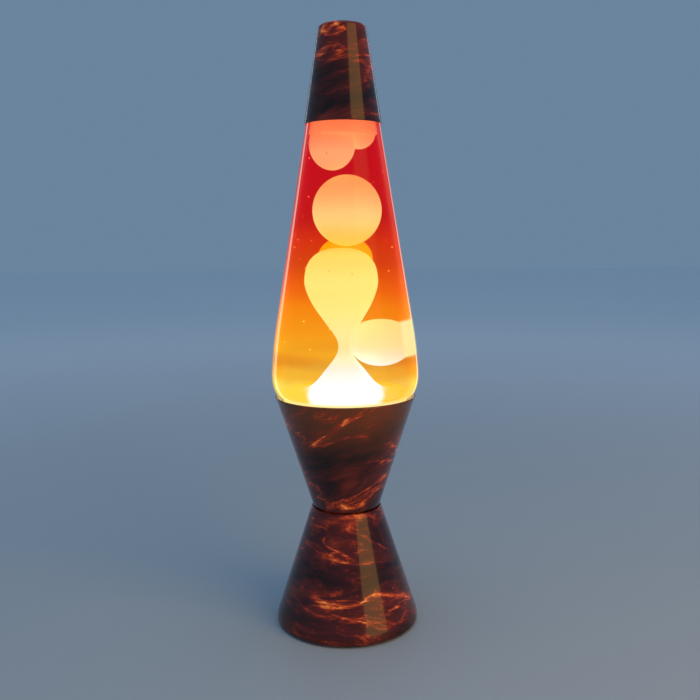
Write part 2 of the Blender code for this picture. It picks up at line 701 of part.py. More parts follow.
def main():
    for old in list(bpy.data.objects):
        bpy.data.objects.remove(old)
    looks = {
        "printed": finish("printed_metal", (0.09, 0.02, 0.01), 0.22, 0.3),
        "steel": finish("plated_steel", (0.62, 0.62, 0.60), 0.35, 1.0),
        "nickel": finish("nickel_plate", (0.72, 0.70, 0.66), 0.25, 1.0),
        "solder": finish("solder", (0.60, 0.60, 0.62), 0.40, 1.0),
        "brass": finish("brass", (0.75, 0.56, 0.24), 0.30, 1.0),
        "tinplate": finish("tinplate", (0.78, 0.76, 0.70), 0.30, 1.0),
        "phenolic": finish("phenolic", (0.03, 0.03, 0.03), 0.45),
        "porcelain": finish("porcelain", (0.86, 0.84, 0.78), 0.25),
        "plastic": finish("cover_plastic", (0.02, 0.02, 0.02), 0.55),
        "rubber": finish("rubber", (0.03, 0.03, 0.03), 0.85),
        "liner": finish("liner_plastic", (0.80, 0.80, 0.78), 0.60),
        "glass": finish("clear_glass", (0.95, 0.95, 0.95), 0.03, clear=1.0),
        "filament": finish("hot_filament", (1.0, 0.62, 0.25), 0.50, glow=5.0),
        "wax": finish("glowing_wax", (1.0, 0.62, 0.22), 0.45, glow=0.8),
    }
    base = pivot("base")
    bulb = pivot("bulb", (0, 0, BULB_TIP_Z))
    globe = pivot("globe", (0, 0, RIM_Z))
    cap = pivot("cap", (0, 0, CAP_EDGE_Z))
    blob_bodies = {name: pivot(f"{name}_slide", place) for name, (place, _) in WAX_BLOBS.items()}

    make_lower_cone(looks["printed"], base)
    make_upper_cup(looks["printed"], base)
    make_cord_grommet(looks["rubber"], base)
    make_socket_cage(looks["steel"], base)
    make_socket_body(looks["porcelain"], base)
    make_socket_fittings(looks, base)
    make_bottom_cover(looks, base)
    make_bulb(looks, bulb, bulb)
    make_globe(looks, globe)
    make_wax(looks, globe, blob_bodies)
    make_cap(looks["printed"], cap)


main()
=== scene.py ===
import math

import bmesh
import bpy
from mathutils import Matrix, Vector


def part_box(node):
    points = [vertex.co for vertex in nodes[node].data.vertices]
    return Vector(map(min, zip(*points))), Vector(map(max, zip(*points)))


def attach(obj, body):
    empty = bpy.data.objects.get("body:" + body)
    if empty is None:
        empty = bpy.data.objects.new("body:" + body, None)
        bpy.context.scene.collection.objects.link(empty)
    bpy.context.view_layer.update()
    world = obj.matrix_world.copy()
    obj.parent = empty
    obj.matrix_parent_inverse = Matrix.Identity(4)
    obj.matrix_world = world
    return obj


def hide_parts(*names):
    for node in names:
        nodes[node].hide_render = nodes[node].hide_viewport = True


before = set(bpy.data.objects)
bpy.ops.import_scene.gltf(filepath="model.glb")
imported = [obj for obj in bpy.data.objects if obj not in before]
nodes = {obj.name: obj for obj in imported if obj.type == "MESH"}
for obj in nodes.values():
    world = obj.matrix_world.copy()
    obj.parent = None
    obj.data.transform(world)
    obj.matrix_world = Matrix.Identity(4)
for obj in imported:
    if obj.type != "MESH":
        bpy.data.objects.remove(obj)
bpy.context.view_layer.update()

MM = 0.001


def mm(*values):
    return Vector(values) * MM


# Shader maths.
class Wire:
    """An output socket of a finish; arithmetic on it adds Math nodes."""

    def __init__(self, finish, socket):
        self.finish = finish
        self.socket = socket

    def math(self, operation, *others, clamp=False):
        values = dict(enumerate((self, *others)))
        return self.finish.node("ShaderNodeMath", {"operation": operation, "use_clamp": clamp}, values)

    def __add__(self, other):
        return self.math("ADD", other)

    def __sub__(self, other):
        return self.math("SUBTRACT", other)

    def __mul__(self, other):
        return self.math("MULTIPLY", other)

    def __truediv__(self, other):
        return self.math("DIVIDE", other)

    def __pow__(self, other):
        return self.math("POWER", other)

    def __neg__(self):
        return self.math("MULTIPLY", -1.0)

    def __abs__(self):
        return self.math("ABSOLUTE")

    def __rsub__(self, other):
        return (-self) + other

    __radd__ = __add__
    __rmul__ = __mul__

    def clamped(self):
        return self.math("ADD", 0.0, clamp=True)

    def larger(self, other):
        return self.math("MAXIMUM", other)

    def sine(self):
        return self.math("SINE")

    def rises(self, low, high):
        """0 below low, 1 above high, and smooth between them."""
        return self.finish.node(
            "ShaderNodeMapRange", {"interpolation_type": "SMOOTHSTEP"},
            {"Value": self, "From Min": low, "From Max": high},
        )


class NodeWork:
    """A node tree and the one method that adds to it."""

    def __init__(self, tree):
        self.tree = tree

    def node(self, kind, settings=None, inputs=None, output=0):
        made = self.tree.nodes.new(kind)
        for key, value in (settings or {}).items():
            if key == "stops":
                self.set_stops(made.color_ramp, value)
            else:
                setattr(made, key, value)
        for key, value in (inputs or {}).items():
            if isinstance(value, Wire):
                self.tree.links.new(made.inputs[key], value.socket)
            else:
                made.inputs[key].default_value = value
        return Wire(self, made.outputs[output])

    @staticmethod
    def set_stops(ramp, stops):
        while len(ramp.elements) > 1:
            ramp.elements.remove(ramp.elements[-1])
        for number, (position, colour) in enumerate(stops):
            stop = ramp.elements[0] if number == 0 else ramp.elements.new(position)
            stop.position = position
            stop.color = (*colour, 1.0)

    def axes(self, vector):
        split = self.node("ShaderNodeSeparateXYZ", inputs={0: vector}).socket.node
        return [Wire(self, socket) for socket in split.outputs]


class Finish(NodeWork):
    """One material, built node by node."""

    def __init__(self, name):
        self.material = bpy.data.materials.new(name)
        self.material.use_nodes = True
        super().__init__(self.material.node_tree)
        self.tree.nodes.clear()
        self.place = self.node("ShaderNodeTexCoord", output="Object")
        self.x, self.y, self.z = self.axes(self.place)

    def stretched(self, scale, turn=(0.0, 0.0, 0.0), shift=(0.0, 0.0, 0.0)):
        """The place on the piece, turned and then stretched along the turned axes."""
        leaned = self.node("ShaderNodeMapping", inputs={"Vector": self.place, "Rotation": turn})
        return self.node("ShaderNodeMapping", inputs={"Vector": leaned, "Location": shift, "Scale": scale})

    def noise(self, scale, detail=2.0, roughness=0.5, vector=None, output=0):
        values = {"Vector": vector or self.place, "Scale": scale, "Detail": detail, "Roughness": roughness}
        return self.node("ShaderNodeTexNoise", None, values, output)

    def ramp(self, value, *stops):
        return self.node("ShaderNodeValToRGB", {"stops": stops}, {"Fac": value})

    def mixed(self, amount, first, second, how="MIX"):
        return self.node(
            "ShaderNodeMix", {"data_type": "RGBA", "blend_type": how, "clamp_factor": True},
            {0: amount, 6: first, 7: second}, 2,
        )

    def pushed(self, vector, direction, amount):
        """A vector moved by amount times (direction - 0.5), as noise colours give it."""
        centred = self.node("ShaderNodeVectorMath", {"operation": "SUBTRACT"}, {0: direction, 1: (0.5, 0.5, 0.5)})
        scaled = self.node("ShaderNodeVectorMath", {"operation": "SCALE"}, {0: centred, "Scale": amount})
        return self.node("ShaderNodeVectorMath", {"operation": "ADD"}, {0: vector, 1: scaled})

    def bump(self, height, strength, distance):
        return self.node("ShaderNodeBump", inputs={"Strength": strength, "Distance": distance, "Height": height})

    def principled(self, **values):
        names = {name.replace("_", " "): value for name, value in values.items()}
        return self.node("ShaderNodeBsdfPrincipled", inputs=names)

    def painted_carried_glow(self, colour, strength):
        """Liquid, shown by a painted glow that stands in for the bulb's light carried through it."""
        return self.principled(
            Base_Color=(0.01, 0.002, 0.001, 1.0), Roughness=0.3, Specular_IOR_Level=0.0,
            Emission_Color=colour, Emission_Strength=strength,
        )

    def edge(self):
        """0 where the piece faces the eye, 1 at its outline."""
        return self.node("ShaderNodeLayerWeight", inputs={"Blend": 0.5}, output="Facing")

    def upward(self):
        """How far the surface faces up, from -1 to 1."""
        return self.axes(self.node("ShaderNodeNewGeometry", output="Normal"))[2]

    def blend_shaders(self, amount, first, second):
        return self.node("ShaderNodeMixShader", inputs={0: amount, 1: first, 2: second})

    def see_through(self, colour):
        return self.node("ShaderNodeBsdfTransparent", inputs={"Color": (*colour, 1.0)})

    def done(self, shader):
        output = self.tree.nodes.new("ShaderNodeOutputMaterial")
        self.tree.links.new(output.inputs["Surface"], shader.socket)
        return self.material


# Finishes.
def lava_print(name, lowest, highest, turn, shift, painted_glow_at_top=0.0):
    """Dark crust with bright cracks, printed on spun metal under a gloss coat; a faint emission paints a glow on the
    print, and a warm glow near the top, set by the last argument, is painted light too.
    """
    look = Finish(name)
    flow = look.stretched((1.0, 1.0, 3.0), turn, shift)
    swirl = look.noise(13.0, 2.0, 0.5, flow, 1)
    flow = look.pushed(flow, swirl, 0.045)
    curl = look.noise(44.0, 3.0, 0.6, flow, 1)
    flow = look.pushed(flow, curl, 0.009)
    wide = 1 - abs(look.noise(15.0, 3.0, 0.5, flow) * 2 - 1)
    thin = 1 - abs(look.noise(36.0, 5.0, 0.62, flow) * 2 - 1)
    heat = look.noise(11.0, 2.0, 0.5, flow).rises(0.36, 0.64)
    wisp = look.noise(95.0, 6.0, 0.7, flow).rises(0.36, 0.66)
    crack = (wide ** 26.0 * 0.62 * (wisp * 0.7 + 0.3) * (heat + 0.10) + thin ** 15.0 * wisp * 0.44 * (heat + 0.04))
    crack = crack.clamped()
    crust = look.noise(30.0, 6.0, 0.66, flow)
    ground = look.ramp(
        crust, (0.34, (0.002, 0.001, 0.001)), (0.49, (0.009, 0.002, 0.002)), (0.60, (0.045, 0.005, 0.003)),
        (0.76, (0.14, 0.018, 0.006)),
    )
    glow = look.ramp(
        crack, (0.0, (0.0, 0.0, 0.0)), (0.12, (0.09, 0.007, 0.002)), (0.32, (0.30, 0.030, 0.006)),
        (0.56, (0.66, 0.11, 0.016)), (0.85, (1.0, 0.40, 0.09)),
    )
    lift = look.z.rises(lowest, highest)
    warmth = look.mixed(heat, ground, (0.055, 0.006, 0.003, 1.0), "ADD")
    # painted glow: a warm brown-gold added towards the top of the piece, standing in for the globe's light falling on
    # it
    warmth = look.mixed(lift * painted_glow_at_top, warmth, (0.13, 0.045, 0.006, 1.0), "ADD")
    colour = look.mixed(crack.rises(0.03, 0.3), warmth, glow)
    grain = look.noise(420.0, 2.0, 0.5)
    # painted glow: the emission makes the print and its cracks shine as if lit, though the shell gives no light
    shader = look.principled(
        Base_Color=colour, Roughness=look.noise(90.0, 3.0, 0.6) * 0.08 + 0.16, Metallic=0.0,
        Coat_Weight=0.5, Coat_Roughness=0.05, Specular_IOR_Level=0.15,
        Emission_Color=look.mixed(0.35, glow, warmth, "ADD"), Emission_Strength=0.28,
        Normal=look.bump(grain * 0.3 + crust, 0.08, 0.0004),
    )
    return look.done(shader)


def metal(name, colour, dark, roughness, brushed=(1.0, 1.0, 1.0), tarnish=0.5):
    look = Finish(name)
    fine = look.noise(900.0, 3.0, 0.6, look.stretched(brushed))
    patch = look.noise(130.0, 4.0, 0.6)
    stain = patch.rises(0.45, 0.75) * tarnish
    shader = look.principled(
        Base_Color=look.mixed(stain + fine * 0.15, (*colour, 1.0), (*dark, 1.0)),
        Metallic=1.0, Roughness=fine * 0.14 + stain * 0.16 + roughness,
        Normal=look.bump(fine, 0.12, 0.0002),
    )
    return look.done(shader)


def moulded(name, colour, light, roughness, grain=1400.0, depth=0.25):
    look = Finish(name)
    fine = look.noise(grain, 2.0, 0.5)
    cloud = look.noise(160.0, 3.0, 0.6)
    shader = look.principled(
        Base_Color=look.mixed(cloud * 0.5 + fine * 0.3, (*colour, 1.0), (*light, 1.0)),
        Roughness=cloud * 0.12 + roughness, Normal=look.bump(fine, depth, 0.0003),
    )
    return look.done(shader)


# The liquid's painted glow, which stands in for the bulb's light carried up through it (its darker band near 0.170 m
# is painted shade), its tint, and the colour that wax shows through it, by height in metres.
LIQUID_GLOW = (
    (0.105, (0.98, 0.62, 0.10)), (0.157, (0.98, 0.70, 0.08)), (0.162, (0.93, 0.40, 0.0)), (0.166, (0.90, 0.36, 0.0)),
    (0.170, (0.74, 0.24, 0.0)), (0.173, (0.80, 0.28, 0.0)), (0.177, (0.96, 0.42, 0.0)), (0.186, (0.96, 0.34, 0.0)),
    (0.203, (0.95, 0.25, 0.0)), (0.211, (0.90, 0.15, 0.0)), (0.220, (0.80, 0.09, 0.0)), (0.228, (0.69, 0.05, 0.0)),
    (0.243, (0.67, 0.02, 0.002)), (0.253, (0.54, 0.0, 0.006)), (0.310, (0.56, 0.0, 0.014)),
)
LIQUID_TINTS = ((0.150, (1.0, 0.92, 0.62)), (0.215, (1.0, 0.62, 0.16)), (0.300, (1.0, 0.24, 0.14)))
GLOW_STRENGTH = 1.2
GLOW_SHARE = 0.58
WAX_STRENGTH = 3.8
WAX_SEEN = (
    (0.156, (1.0, 0.98, 0.94)), (0.166, (1.0, 0.84, 0.55)), (0.177, (1.0, 0.77, 0.31)), (0.191, (1.0, 0.79, 0.27)),
    (0.218, (1.0, 0.77, 0.21)), (0.2335, (1.0, 0.67, 0.135)), (0.2385, (1.0, 0.40, 0.05)),
    (0.2445, (1.0, 0.48, 0.09)), (0.252, (1.0, 0.58, 0.18)),
    (0.258, (1.0, 0.58, 0.20)), (0.268, (1.0, 0.44, 0.14)), (0.280, (1.0, 0.31, 0.085)), (0.286, (1.0, 0.36, 0.14)),
    (0.293, (1.0, 0.38, 0.16)), (0.3045, (1.0, 0.24, 0.085)), (0.312, (1.0, 0.19, 0.065)),
)
# painted glow of the rear lump, deeper orange as if seen through more liquid
DEEP_WAX_SEEN = ((0.218, (1.25, 0.46, 0.01)), (0.230, (1.25, 0.36, 0.0)), (0.244, (1.22, 0.27, 0.0)))
SETTLED_SEEN = (1.0, 0.66, 0.05)
SIDE_LUMP_HEIGHT = 0.1838
# A line of sight that looks down a little crosses the glass this much above the wax that it reaches.
SIGHT_RISE = 0.004


def at_height(stops, z):
    """The colour of stops at a height."""
    for (z0, low), (z1, high) in zip(stops, stops[1:]):
        if z <= z1:
            share = min(max((z - z0) / (z1 - z0), 0.0), 1.0)
            return tuple(a + (b - a) * share for a, b in zip(low, high))
    return stops[-1][1]


def by_height(look, stops, low=0.100, high=0.345, wobble=None):
    """A colour from stops given as heights in metres."""
    share = (look.z - low) / (high - low)
    if wobble is not None:
        share = share + wobble
    return look.ramp(share, *((round((z - low) / (high - low), 4), colour) for z, colour in stops))


def behind_liquid(z, seen):
    """The painted glow that wax needs at a height to be seen in a colour through the tinted liquid."""
    glow = at_height(LIQUID_GLOW, z + SIGHT_RISE)
    tint = at_height(LIQUID_TINTS, z + SIGHT_RISE)
    share = GLOW_SHARE * GLOW_STRENGTH
    need = ((1.02 * s - share * g) / ((1 - GLOW_SHARE) * t * WAX_STRENGTH) for s, g, t in zip(seen, glow, tint))
    return tuple(min(max(value, 0.0), 1.0) for value in need)


def glowing_wax(name, seen=WAX_SEEN):
    """Soft paraffin whose light from the bulb below is a painted glow: whiter and hotter low down, rosier towards the
    cap.
    """
    look = Finish(name)
    cloud = look.noise(60.0, 4.0, 0.6)
    steps = {round(z - SIGHT_RISE, 4) for z, _ in LIQUID_GLOW if seen[0][0] < z - SIGHT_RISE < 0.18}
    stops = [(z, behind_liquid(z, at_height(seen, z))) for z in sorted(steps | {z for z, _ in seen})]
    colour = by_height(look, stops, wobble=(cloud - 0.5) * 0.02)
    forward = (look.y + 0.018) * 0.6
    reach = (look.x * look.x + forward * forward) ** 0.5
    settled = (1 - look.z.rises(0.1492, 0.1525)) * (reach + (cloud - 0.5) * 0.004).rises(0.0205, 0.0250)
    colour = look.mixed(settled, colour, (*behind_liquid(0.147, SETTLED_SEEN), 1.0))
    colour = look.mixed(1 - look.z.rises(0.1460, 0.1478), colour, (*behind_liquid(0.130, (1.0, 0.84, 0.36)), 1.0))
    # painted shade: faces that look up are darkened and reddened above the pool, as wax lit from below would be
    up = look.upward()
    lit = (up * 0.5 + 0.5).rises(0.25, 1.0) * look.z.rises(0.168, 0.196) * 0.25
    shade = look.mixed(lit, colour, (1.0, 0.60, 0.50, 1.0), "MULTIPLY")
    # painted shade: the wax darkened and reddened at its outline
    edge = look.edge()
    rim = look.mixed(edge.rises(0.75, 1.0) * 0.2, shade, (1.0, 0.66, 0.44, 1.0), "MULTIPLY")
    # the emission is painted glow; the wax gives no light of its own
    shader = look.principled(
        Base_Color=look.mixed(0.5, rim, (0.20, 0.10, 0.05, 1.0), "MULTIPLY"), Roughness=cloud * 0.12 + 0.42,
        Emission_Color=rim, Emission_Strength=WAX_STRENGTH,
        Normal=look.bump(look.noise(220.0, 3.0, 0.55), 0.12, 0.0006),
    )
    return look.done(shader)


def tinted_liquid(name):
    """Clear tinted liquid with a painted glow that stands in for the light carried up from the bulb: amber low down,
    crimson at the top.
    """
    look = Finish(name)
    drift = (look.noise(26.0, 3.0, 0.5, look.stretched((1.0, 1.0, 2.0))) - 0.5) * 0.03
    edge = look.edge()
    light = by_height(look, LIQUID_GLOW, wobble=drift)
    # painted shade: the glow darkened towards the +x side
    light = look.mixed(look.x.rises(0.004, 0.042) * 0.55, light, (0.93, 0.55, 0.50, 1.0), "MULTIPLY")
    # painted highlight: the glow brightened at the outline
    light = look.mixed(edge ** 7.0, light, (0.34, 0.13, 0.07, 1.0), "ADD")
    glow = look.painted_carried_glow(light, GLOW_STRENGTH)
    tint = look.see_through(LIQUID_TINTS[0][1])
    for (low, _), (high, colour) in zip(LIQUID_TINTS, LIQUID_TINTS[1:]):
        tint = look.blend_shaders(look.z.rises(low, high), tint, look.see_through(colour))
    # more of the painted glow shows at the outline
    amount = (edge ** 3.0 * 0.30 + GLOW_SHARE).clamped()
    return look.done(look.blend_shaders(amount, tint, glow))


def liquid_in_wall(look, edge, glass):
    """The glass with a painted glow of the liquid's light at its outline, where a thick wall would carry it."""
    # painted light: the wall's glow is brighter towards the +x side
    right = look.x.rises(0.0, 0.03) * 0.5 + 0.2
    light = look.mixed(right, by_height(look, LIQUID_GLOW), (0.20, 0.06, 0.03, 1.0), "ADD")
    # painted highlight: a pale line just inside the outline
    place = edge - look.x.rises(-0.01, 0.01) * 0.12
    line = place.rises(0.62, 0.66) * (1 - place.rises(0.70, 0.76))
    light = look.mixed(line * 0.9, light, (0.30, 0.42, 0.34, 1.0), "ADD")
    # painted image of the side lump: a yellow glow on the glass beside it
    painted_lump_image = look.x.rises(0.024, 0.032) * (1 - abs(look.z - SIDE_LUMP_HEIGHT).rises(0.0098, 0.0120))
    light = look.mixed(painted_lump_image, light, (1.0, 0.84, 0.36, 1.0))
    wet = look.z.rises(0.1465, 0.149) * (1 - look.z.rises(0.326, 0.336))
    share = (edge.rises(0.46, 0.66) * 0.80).larger(painted_lump_image * edge.rises(0.36, 0.48) * 0.95)
    return look.blend_shaders(share * wet, glass, look.painted_carried_glow(light, GLOW_STRENGTH * 0.85))


def clear_glass(name, strength=1.0, filled=False):
    """Glass; where it is filled, its wall shows a painted glow in the liquid's colour."""
    look = Finish(name)
    ripple = look.noise(38.0, 2.0, 0.5, look.stretched((1.0, 1.0, 0.25)))
    shine = look.principled(
        Base_Color=(1.0, 1.0, 1.0, 1.0), Metallic=1.0, Roughness=look.noise(55.0, 2.0, 0.5) * 0.03 + 0.01,
        Normal=look.bump(ripple, 0.05, 0.0005),
    )
    edge = look.edge()
    body = look.see_through((0.985, 0.99, 0.985))
    if filled:
        body = liquid_in_wall(look, edge, body)
        amount = edge.rises(0.70, 0.92) ** 2.0 * 0.85 + 0.010
    else:
        amount = (edge ** 4.0 * 0.78 + 0.010) * strength
    return look.done(look.blend_shaders(amount.clamped(), body, shine))


def bright_specks(name):
    """Tiny bubbles, with a painted glow and a painted highlight on their undersides that stand in for the bulb's
    light that they catch.
    """
    look = Finish(name)
    up = look.upward()
    colour = by_height(look, ((0.17, (1.0, 0.75, 0.25)), (0.24, (1.0, 0.38, 0.14)), (0.30, (1.0, 0.22, 0.20))))
    shader = look.principled(
        Base_Color=colour, Roughness=up * 0.1 + 0.2, Emission_Strength=2.4,
        # painted highlight: whiter where the bubble faces down towards the bulb
        Emission_Color=look.mixed((0.3 - up).clamped(), colour, (1.0, 0.9, 0.7, 1.0)),
    )
    return look.done(shader)


def hot_wire(name):
    look = Finish(name)
    coil = (look.x * 9000.0).sine() * 0.5 + 0.5
    shader = look.principled(
        Base_Color=(0.3, 0.2, 0.1, 1.0), Metallic=1.0, Roughness=0.5,
        Emission_Color=look.mixed(coil, (1.0, 0.42, 0.10, 1.0), (1.0, 0.80, 0.42, 1.0)), Emission_Strength=12.0,
    )
    return look.done(shader)


# Shapes.
def plain_mesh(bm, name="start"):
    """The mesh of a bmesh, with its faces turned outwards."""
    bmesh.ops.remove_doubles(bm, verts=bm.verts, dist=1e-7)
    bmesh.ops.recalc_face_normals(bm, faces=bm.faces)
    mesh = bpy.data.meshes.new(name)
    bm.to_mesh(mesh)
    bm.free()
    return mesh


def linked(name, data):
    """A new object in the scene."""
    made = bpy.data.objects.new(name, data)
    bpy.context.scene.collection.objects.link(made)
    return made


def evaluated_mesh(holder):
    """The plain mesh that an object's modifiers or curve settings make."""
    return bpy.data.meshes.new_from_object(holder.evaluated_get(bpy.context.evaluated_depsgraph_get()))


def mesh_piece(name, bm, finish, body, stands_for=(), angle=40.0):
    """A closed mesh made into a piece that rides on a body."""
    return mesh_object(name, plain_mesh(bm, name), finish, body, stands_for, angle)


def mesh_object(name, mesh, finish, body, stands_for=(), angle=40.0):
    mesh.materials.clear()
    mesh.materials.append(finish)
    mesh.shade_smooth()
    mesh.set_sharp_from_angle(angle=math.radians(angle))
    made = linked(name, mesh)
    if body:
        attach(made, body)
    if stands_for:
        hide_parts(*stands_for)
    return made


def smooth_line(points, pieces):
    """Catmull-Rom points through the given ones."""
    line = []
    for i in range(len(points) - 1):
        p0 = Vector(points[max(i - 1, 0)])
        p1 = Vector(points[i])
        p2 = Vector(points[i + 1])
        p3 = Vector(points[min(i + 2, len(points) - 1)])
        for step in range(pieces):
            t = step / pieces
            line.append(tuple(
                0.5 * (2 * p1 + (p2 - p0) * t + (2 * p0 - 5 * p1 + 4 * p2 - p3) * t * t
                       + (3 * p1 - p0 - 3 * p2 + p3) * t ** 3)
            ))
    line.append(tuple(points[-1]))
    return line


def arc(centre, radius, start, end, steps):
    """Points of an arc in the profile plane; the angles are in degrees, anticlockwise."""
    turn = [math.radians(start + (end - start) * i / steps) for i in range(steps + 1)]
    return [(centre[0] + radius * math.cos(a), centre[1] + radius * math.sin(a)) for a in turn]


def turned(outline, segments, closed=False):
    """Profile points (radius, height) in millimetres, turned about the lamp's axis."""
    bm = bmesh.new()
    rings = []
    for radius, height in outline:
        if radius < 1e-6:
            rings.append([bm.verts.new(mm(0, 0, height))])
            continue
        ring = []
        for i in range(segments):
            a = math.tau * i / segments
            ring.append(bm.verts.new(mm(radius * math.cos(a), radius * math.sin(a), height)))
        rings.append(ring)
    pairs = list(zip(rings, rings[1:]))
    if closed:
        pairs.append((rings[-1], rings[0]))
    for one, two in pairs:
        for i in range(segments):
            j = (i + 1) % segments
            corners = [one[i % len(one)], one[j % len(one)], two[j % len(two)], two[i % len(two)]]
            unique = list(dict.fromkeys(corners))
            if len(unique) > 2:
                bm.faces.new(unique)
    return bm


class Recipe(NodeWork):
    """A Geometry Nodes tree with named inputs for its sizes."""

    def __init__(self, name):
        super().__init__(bpy.data.node_groups.new(name, "GeometryNodeTree"))
        self.name = name
        self.values = {}
        for way in ("INPUT", "OUTPUT"):
            self.tree.interface.new_socket("Geometry", in_out=way, socket_type="NodeSocketGeometry")
        self.entry = self.tree.nodes.new("NodeGroupInput")
        self.start = Wire(self, self.entry.outputs["Geometry"])

    def size(self, name, value):
        kind = "NodeSocketInt" if isinstance(value, int) else "NodeSocketFloat"
        socket = self.tree.interface.new_socket(name, in_out="INPUT", socket_type=kind)
        self.values[socket.identifier] = value
        return Wire(self, self.entry.outputs[name])

    def vector(self, x=0.0, y=0.0, z=0.0):
        return self.node("ShaderNodeCombineXYZ", inputs={"X": x, "Y": y, "Z": z})

    def around_axis(self):
        """The angle and height of each point."""
        x, y, z = self.axes(self.node("GeometryNodeInputPosition"))
        return y.math("ARCTAN2", x), x, y, z

    def swelled(self, x, y, amount):
        """The start mesh with each point moved out from the axis by amount."""
        push = amount / ((x * x + y * y) ** 0.5).larger(0.001)
        offset = self.vector(x * push, y * push)
        return self.node("GeometryNodeSetPosition", inputs={"Geometry": self.start, "Offset": offset})

    def mesh(self, geometry, finish, start=None):
        """Runs the tree on a start mesh and gives the plain mesh that it makes."""
        realised = self.node("GeometryNodeRealizeInstances", inputs={0: geometry})
        last = self.node("GeometryNodeSetMaterial", inputs={"Geometry": realised, "Material": finish})
        exit_node = self.tree.nodes.new("NodeGroupOutput")
        self.tree.links.new(exit_node.inputs[0], last.socket)
        holder = linked(self.name, start or bpy.data.meshes.new(self.name))
        modifier = holder.modifiers.new(self.name, "NODES")
        modifier.node_group = self.tree
        for identifier, value in self.values.items():
            modifier[identifier] = value
        made = evaluated_mesh(holder)
        holder.modifiers.remove(modifier)
        bpy.data.objects.remove(holder)
        return made


def combined(mesh, solids, operation):
    """The mesh with each solid joined to it or cut out of it."""
    holder = linked("combined", mesh)
    helpers = [linked("solid", plain_mesh(solid)) for solid in solids]
    for helper in helpers:
        modifier = holder.modifiers.new("step", "BOOLEAN")
        modifier.operation = operation
        modifier.solver = "EXACT"
        modifier.object = helper
    made = evaluated_mesh(holder)
    for helper in (holder, *helpers):
        bpy.data.objects.remove(helper)
    return made


# The shells.
BASE_Z = 6.5
BASE_RADIUS = 44.45
WAIST_Z = 75.15
WAIST_RADIUS = 22.0
INLET_Z = 13.0


def cone_radius(z):
    return WAIST_RADIUS + (WAIST_Z - z) * (BASE_RADIUS - WAIST_RADIUS) / (WAIST_Z - BASE_Z)


def cup_radius(z):
    return 43.6 - (146.3 - z) * 0.32


def lower_cone(finish):
    wall = 1.05
    bead = arc((43.55, 2.5), 1.5, 15, -215, 20)
    outside = [(cone_radius(z), z) for z in (6.5, 8.0, 12.0, 20.0, 30.0, 40.0, 50.0, 60.0, 70.0, 74.6)]
    lip = [(22.0, 75.0), (21.7, 75.15), (21.2, 75.15), (20.95, 74.9), (20.9, 69.9), (20.6, 69.2)]
    floor = [(18.9, 69.2), (18.8, 69.1), (18.8, 68.3), (18.9, 68.2), (22.6, 68.2)]
    inside = [(cone_radius(z) - wall, z) for z in (66.0, 50.0, 30.0, 12.0, 7.0)]
    outline = [*bead[::-1], (44.9, 4.3), *outside, *lip, *floor, *inside]
    shell = plain_mesh(turned(outline, 160, closed=True), "lower_cone_shell")
    hole = bmesh.new()
    slope = math.atan2(BASE_RADIUS - WAIST_RADIUS, WAIST_Z - BASE_Z)
    bmesh.ops.create_cone(hole, cap_ends=True, segments=40, radius1=4 * MM, radius2=4 * MM, depth=14 * MM)
    place = Matrix.Translation(mm(0, cone_radius(INLET_Z) - 0.5, INLET_Z))
    hole.transform(place @ Matrix.Rotation(math.pi / 2 - slope, 4, "X"))
    holed = combined(shell, [hole], "DIFFERENCE")
    return mesh_object("lower_cone_shell", holed, finish, "base", ["lower_cone"], angle=45)


def upper_cup(finish):
    wall = 0.9
    bead = arc((43.0, 145.6), 0.7, -20, 200, 14)
    outside = [(cup_radius(z), z) for z in (143.6, 140.0, 130.0, 120.0, 110.0, 100.0, 90.0, 82.0, 78.6)]
    neck = [(21.6, 77.4), (21.15, 76.6), (21.0, 75.95), (20.7, 75.3), (20.5, 74.35), (20.5, 71.1), (20.1, 70.1),
            (19.4, 69.6), (19.2, 69.5)]
    floor = [(18.9, 69.5), (18.8, 69.6), (18.8, 70.4), (18.9, 70.5)]
    inner = [(19.3, 70.7), (19.45, 71.4), (19.45, 76.2), (20.2, 77.6)]
    inside = [(cup_radius(z) - wall, z) for z in (80.0, 90.0, 105.0, 120.0, 135.0, 143.4)]
    outline = [*bead, *inside[::-1], *inner[::-1], *floor[::-1], *neck[::-1], *outside[::-1]]
    shell = turned(outline, 160, closed=True)
    return mesh_piece("upper_cup_shell", shell, finish, "base", ["upper_cup"], angle=45)


def lamp_cap(finish):
    wall = 0.65
    top = smooth_line([(14.8, 364.4), (14.25, 366.7), (12.6, 367.75), (10.0, 367.96), (0.0, 368.0)], 5)
    side = [(23.5 - 8.7 * share, 310.6 + 53.8 * share) for share in (0.018, 0.05, 0.2, 0.4, 0.6, 0.8, 0.97)]
    hem = [(23.2, 310.75), (23.1, 310.6), (22.95, 310.75)]
    inside = [(radius - wall, z - wall * 0.4) for radius, z in side]
    outline = [*hem[::-1], *side, *top[:-1], (0.0, 368.0), (0.0, 367.2), (12.0, 366.9), *inside[::-1]]
    shell = turned(outline, 128, closed=True)
    return mesh_piece("lamp_cap_shell", shell, finish, "cap", ["lamp_cap"], angle=45)


def bare_inside(shell, bare, inner_floor):
    """Leaves the inside of a printed shell as bare metal; inner_floor tells the faces that look along the axis."""
    shell.data.materials.append(bare)
    for face in shell.data.polygons:
        radius = math.hypot(face.center.x, face.center.y)
        inwards = face.normal.x * face.center.x + face.normal.y * face.center.y < -0.15 * radius
        face.material_index = int(inwards or inner_floor(face, radius))
    return shell


# The globe.
LIQUID_TOP = 338.0


